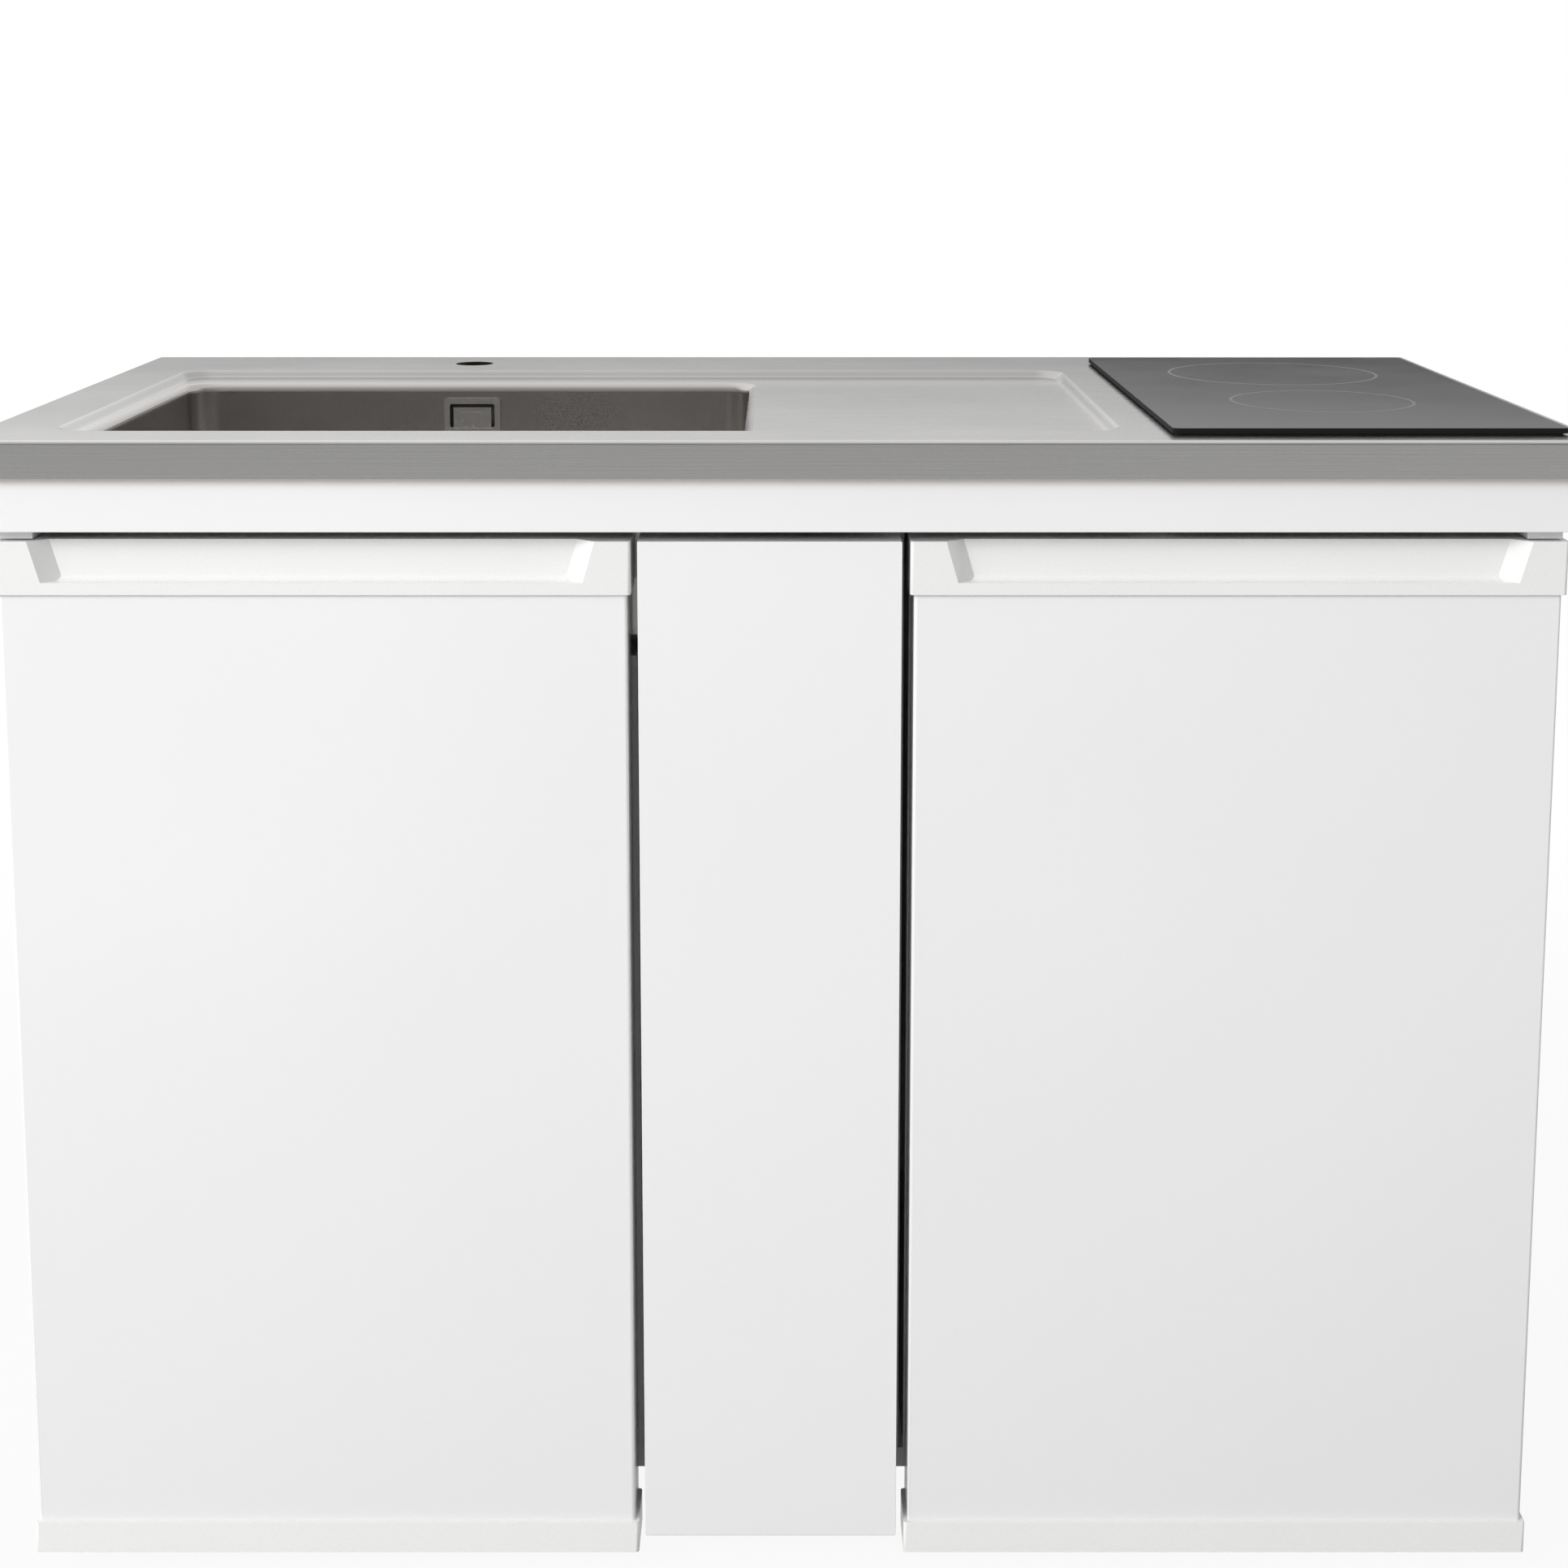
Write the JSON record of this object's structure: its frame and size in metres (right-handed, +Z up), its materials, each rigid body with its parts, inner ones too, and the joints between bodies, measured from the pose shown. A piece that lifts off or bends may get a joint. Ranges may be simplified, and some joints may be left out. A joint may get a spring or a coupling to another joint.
{
  "type": "kitchenette unit with sink and hob",
  "caption": "Compact kitchenette: stainless worktop with sink bowl and drainer, glass hob, sink cupboard, fixed centre panel and built-in fridge under it.",
  "frame": {"origin": "on the floor, under the middle of the worktop", "axes": "+X to the right seen from the front, along the unit's width; -Y to the front; +Z up"},
  "size_m": [1.2, 0.6, 0.9055],
  "materials": {
    "stainless_top": "brushed stainless, light grain",
    "stainless_bowl": "satin stainless",
    "bright_steel": "polished stainless",
    "batten_timber": "raw spruce",
    "waste_plastic": "moulded white plastic",
    "grey_plastic": "moulded grey plastic",
    "hob_glass": "black glass ceramic",
    "black_rubber": "soft black rubber",
    "zinc_steel": "zinc-plated sheet",
    "element_lining": "mineral fibre lining",
    "circuit_board": "solder-masked board",
    "white_steel": "white powder coat",
    "door_steel": "white painted sheet",
    "cap_plastic": "moulded warm white plastic",
    "white_board": "white melamine-faced board",
    "frame_timber": "white painted timber",
    "foam": "closed-cell foam",
    "honeycomb": "paper honeycomb",
    "liner_plastic": "vacuum-formed white plastic",
    "seal_rubber": "soft grey seal",
    "freezer_aluminium": "roll-bonded aluminium",
    "clear_glass": "clear toughened glass",
    "clear_plastic": "clear polystyrene",
    "flap_plastic": "frosted plastic",
    "black_paint": "black paint"
  },
  "bodies": {
    "cabinet": {"worktop_sheet": "stainless_top", "worktop_battens": "batten_timber", "sink_bowl": "stainless_bowl", "waste_body": "waste_plastic", "waste_locknut": "waste_plastic", "overflow_cover": "bright_steel", "overflow_housing": "grey_plastic", "overflow_hose": "waste_plastic", "trap_body": "waste_plastic", "trap_cup": "waste_plastic", "trap_nuts": "waste_plastic", "waste_pipe": "waste_plastic", "hob_glass": "hob_glass", "hob_seal": "black_rubber", "hob_tray": "zinc_steel", "front_element": "element_lining", "rear_element": "element_lining", "hob_control_board": "circuit_board", "hob_clips": "zinc_steel", "hob_terminal_box": "grey_plastic", "fascia_panel": "white_steel", "top_frame": "frame_timber", "cabinet_left_side": "white_board", "cabinet_right_side": "white_board", "sink_partition": "white_board", "fridge_partition": "white_board", "cabinet_floor": "white_board", "cabinet_back": "white_board", "levelling_feet": "grey_plastic", "centre_panel": "white_steel", "sink_door_hinges": "white_steel", "magnet_catch": "grey_plastic", "fridge_case": "white_steel", "fridge_insulation": "foam", "fridge_liner": "liner_plastic", "freezer_box": "freezer_aluminium", "fridge_shelves": "clear_glass", "thermostat_housing": "liner_plastic", "lamp_lens": "clear_plastic", "compressor": "black_paint", "condenser": "black_paint", "fridge_door_hinges": "white_steel"},
    "sink_door": {"sink_door_panel": "door_steel", "sink_door_top_cap": "cap_plastic", "sink_door_bottom_cap": "cap_plastic", "sink_door_core": "honeycomb", "sink_door_inner_panel": "liner_plastic", "sink_door_buffers": "seal_rubber"},
    "fridge_door": {"fridge_door_panel": "door_steel", "fridge_door_top_cap": "cap_plastic", "fridge_door_bottom_cap": "cap_plastic", "fridge_door_foam": "foam", "fridge_door_liner": "liner_plastic", "fridge_door_seal": "seal_rubber"},
    "strainer_basket": {"strainer_basket": "bright_steel"},
    "thermostat_knob": {"thermostat_knob": "cap_plastic"},
    "freezer_flap": {"freezer_flap": "flap_plastic"},
    "crisper_drawer": {"crisper_drawer": "clear_plastic"},
    "upper_door_bin": {"upper_door_bin": "clear_plastic"},
    "lower_door_bin": {"lower_door_bin": "clear_plastic"}
  },
  "joints": [
    {"name": "sink_door_hinge", "type": "hinge", "parent": "cabinet", "child": "sink_door", "pos_m": [-0.564, -0.255, 0.42], "axis": [0, 0, -1], "range_deg": [0, 110]},
    {"name": "fridge_door_hinge", "type": "hinge", "parent": "cabinet", "child": "fridge_door", "pos_m": [0.564, -0.255, 0.42], "axis": [0, 0, 1], "range_deg": [0, 110]},
    {"name": "strainer_basket_lift", "type": "slide", "parent": "cabinet", "child": "strainer_basket", "axis": [0, 0, 1], "range_m": [0, 0.2]},
    {"name": "thermostat_knob_turn", "type": "hinge", "parent": "cabinet", "child": "thermostat_knob", "pos_m": [0.5, -0.03, 0.6289], "axis": [0, -1, 0], "range_deg": [0, 270]},
    {"name": "freezer_flap_hinge", "type": "hinge", "parent": "cabinet", "child": "freezer_flap", "pos_m": [0.328, -0.05925, 0.6699], "axis": [1, 0, 0], "range_deg": [0, 90]},
    {"name": "crisper_drawer_slide", "type": "slide", "parent": "cabinet", "child": "crisper_drawer", "axis": [0, -1, 0], "range_m": [0, 0.09]},
    {"name": "upper_door_bin_lift", "type": "slide", "parent": "fridge_door", "child": "upper_door_bin", "axis": [0, 0, 1], "range_m": [0, 0.03]},
    {"name": "lower_door_bin_lift", "type": "slide", "parent": "fridge_door", "child": "lower_door_bin", "axis": [0, 0, 1], "range_m": [0, 0.03]}
  ]
}
